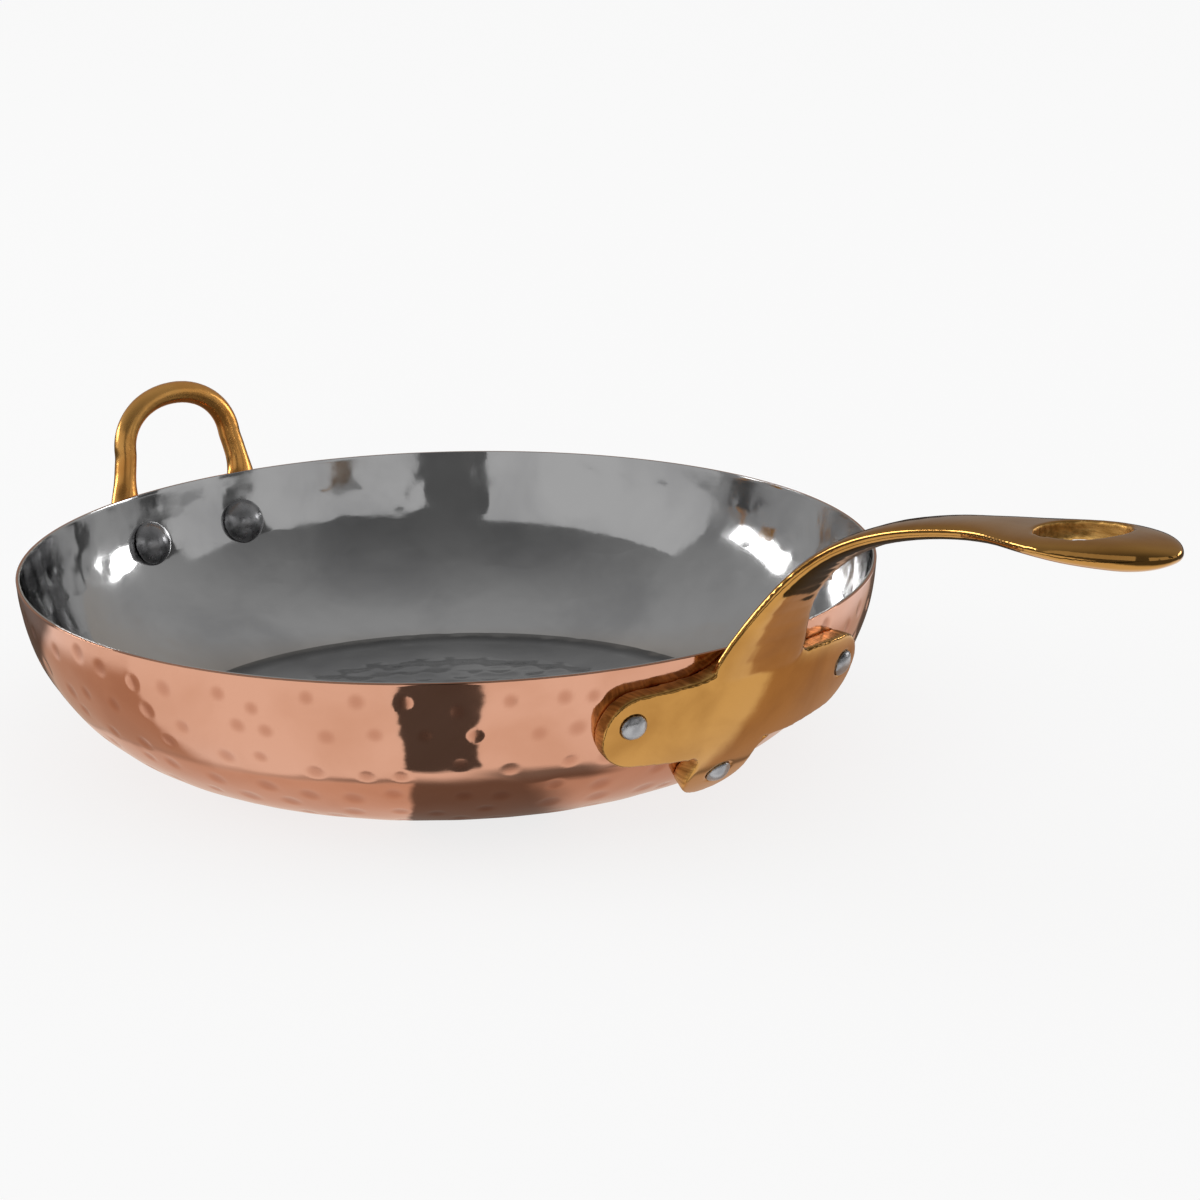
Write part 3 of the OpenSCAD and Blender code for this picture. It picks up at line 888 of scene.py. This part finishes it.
def dents(blows, depth, side):
    """Round dents at each blow, on one side of a wall."""

    def field(points, angle, run, sides):
        moved = np.zeros(run.shape)
        radius = np.linalg.norm(points[..., :2], axis=-1)
        for at, place, size in blows:
            across = (np.mod(angle - at + math.pi, 2 * math.pi) - math.pi) * radius
            far = np.hypot(across, run - place) / size
            near = far < 1
            moved[near] -= depth * (1 - far[near] ** 3) ** 2
        return np.where(sides == side, moved, 0)

    return field


def groove(at, half_width, depth, side):
    """A ring pressed into one side of a wall, all round it."""

    def field(points, angle, run, sides):
        far = np.clip(np.abs(run - at) / half_width, 0, 1)
        return np.where(sides == side, -depth * (1 - far**4) ** 2, 0)

    return field


def ripples(seed, size, depth, side, low, high):
    """Soft planishing waves over one side of a wall, between two runs."""
    shift = Vector([seed * step for step in SEED_SHIFT])

    def field(points, angle, run, sides):
        flat = points.reshape(-1, 3)
        flat_run = run.reshape(-1)
        chosen = ((sides == side) & (run >= low) & (run <= high)).reshape(-1)
        moved = np.zeros(len(flat))
        for k in np.flatnonzero(chosen):
            moved[k] = depth * noise.noise(Vector(flat[k]) / size + shift)
        edge = np.clip((flat_run - low) / size, 0, 1) * np.clip((high - flat_run) / size, 0, 1)
        return (moved * edge).reshape(run.shape)

    return field


def make_copper():
    """The outer wall, with the hammer's rows over planishing waves."""
    hammered = WALL_RUN - HAMMERED_BELOW_RIM
    outer = steps((BASE_R, BASE_STEP), (hammered, PLAIN_STEP), (WALL_RUN, HAMMERED_STEP))
    inner = steps((BASE_R, HIDDEN_STEP), (WALL_RUN, HIDDEN_STEP))
    waves = [
        ripples(seed, size, depth, OUTSIDE, BASE_R, WALL_RUN - end)
        for seed, size, depth, end in COPPER_WAVES
    ]
    piece = turned_wall(
        "copper_wall",
        depths=(0, COPPER_T),
        runs=(outer, inner),
        segments=COPPER_SEGMENTS,
        fields=[dents(wall_blows(), BLOW_DEPTH, OUTSIDE)] + waves,
        # The dents' mark, where the material paints shade
        marks=dents(wall_blows(), 1.0, OUTSIDE),
    )
    piece.data.materials.append(copper_polished())
    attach(piece, "root")
    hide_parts("copper_shell")


def make_lining():
    """The inner wall, with a pebbled floor, a dark grooved ring and waves up to the rim."""
    outer = steps((BASE_R, HIDDEN_STEP), (WALL_RUN, HIDDEN_STEP))
    inner = steps((WALL_RUN, LINING_STEP))
    waves = [
        ripples(seed, size, depth, INSIDE, FLOOR_EDGE, WALL_RUN - end)
        for seed, size, depth, end in LINING_WAVES
    ]
    blows = [
        dents(floor_pebbles(), PEBBLE_DEPTH, INSIDE),
        dents(wall_blows(), INNER_BLOW_DEPTH, INSIDE),
    ]
    piece = turned_wall(
        "steel_lining_wall",
        depths=(COPPER_T + BOND_GAP, COPPER_T + BOND_GAP + LINING_T),
        runs=(outer, inner),
        segments=LINING_SEGMENTS,
        fields=blows + waves + [groove(FLOOR_RING_R, FLOOR_RING_HALF, FLOOR_RING_DEPTH, INSIDE)],
        marks=groove(FLOOR_RING_R, FLOOR_RING_DARK_HALF, 1.0, INSIDE),
    )
    piece.data.materials.append(lining_steel())
    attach(piece, "root")
    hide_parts("steel_lining")


# Castings and rivets

# How far each round of smoothing moves a point towards its neighbours' middle
WEAR = 0.5
RIVETS = (
    "handle_rivet_left",
    "handle_rivet_right",
    "handle_rivet_lower",
    "loop_rivet_left",
    "loop_rivet_right",
)


def softened(node, name, depth, fill, passes, wave, wave_depth):
    """A copy of a node with its edges worn round and its faces slightly uneven.

    depth and fill set how finely it is remeshed: a step of depth halves the faces' size. passes
    are the rounds of smoothing, and wave and wave_depth the size and depth of the unevenness.
    """
    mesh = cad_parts[node].data.copy()
    mesh.name = name
    mesh.materials.clear()
    shape = bmesh.new()
    shape.from_mesh(mesh)
    bmesh.ops.remove_doubles(shape, verts=shape.verts, dist=WELD)
    shape.to_mesh(mesh)
    shape.free()
    piece = bpy.data.objects.new(name, mesh)
    bpy.context.scene.collection.objects.link(piece)
    remesh = piece.modifiers.new("cast", "REMESH")
    remesh.mode = "SMOOTH"
    remesh.octree_depth = depth
    remesh.scale = fill
    smooth = piece.modifiers.new("worn", "SMOOTH")
    smooth.factor = WEAR
    smooth.iterations = passes
    graph = bpy.context.evaluated_depsgraph_get()
    baked = bpy.data.meshes.new_from_object(piece.evaluated_get(graph))
    piece.modifiers.clear()
    piece.data = baked
    away = [vertex.normal.copy() for vertex in baked.vertices]
    for vertex, out in zip(baked.vertices, away):
        vertex.co += out * noise.noise(vertex.co / wave) * wave_depth
    baked.shade_smooth()
    return piece


def make_brass():
    """The long handle and the helper loop, two castings in two finishes."""
    handle = softened(
        "long_handle",
        "cast_long_handle",
        depth=9,
        fill=0.72,
        passes=14,
        wave=14 * MM,
        wave_depth=0.1 * MM,
    )
    handle.data.materials.append(brass_polished())
    loop = softened(
        "loop_handle",
        "cast_loop_handle",
        depth=7,
        fill=0.95,
        passes=20,
        wave=14 * MM,
        wave_depth=0.06 * MM,
    )
    loop.data.materials.append(brass_satin())
    for piece, node in ((handle, "long_handle"), (loop, "loop_handle")):
        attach(piece, "root")
        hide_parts(node)


def make_rivets():
    """The five rivets, with their clinched heads."""
    steel = rivet_steel()
    for node in RIVETS:
        piece = softened(
            node,
            "clinched_" + node,
            depth=5,
            fill=0.9,
            passes=2,
            wave=3 * MM,
            wave_depth=0.1 * MM,
        )
        piece.data.materials.append(steel)
        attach(piece, "root")
        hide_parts(node)


add_camera()
add_studio()
make_copper()
make_lining()
make_brass()
make_rivets()

bpy.context.scene.view_settings.view_transform = "Standard"
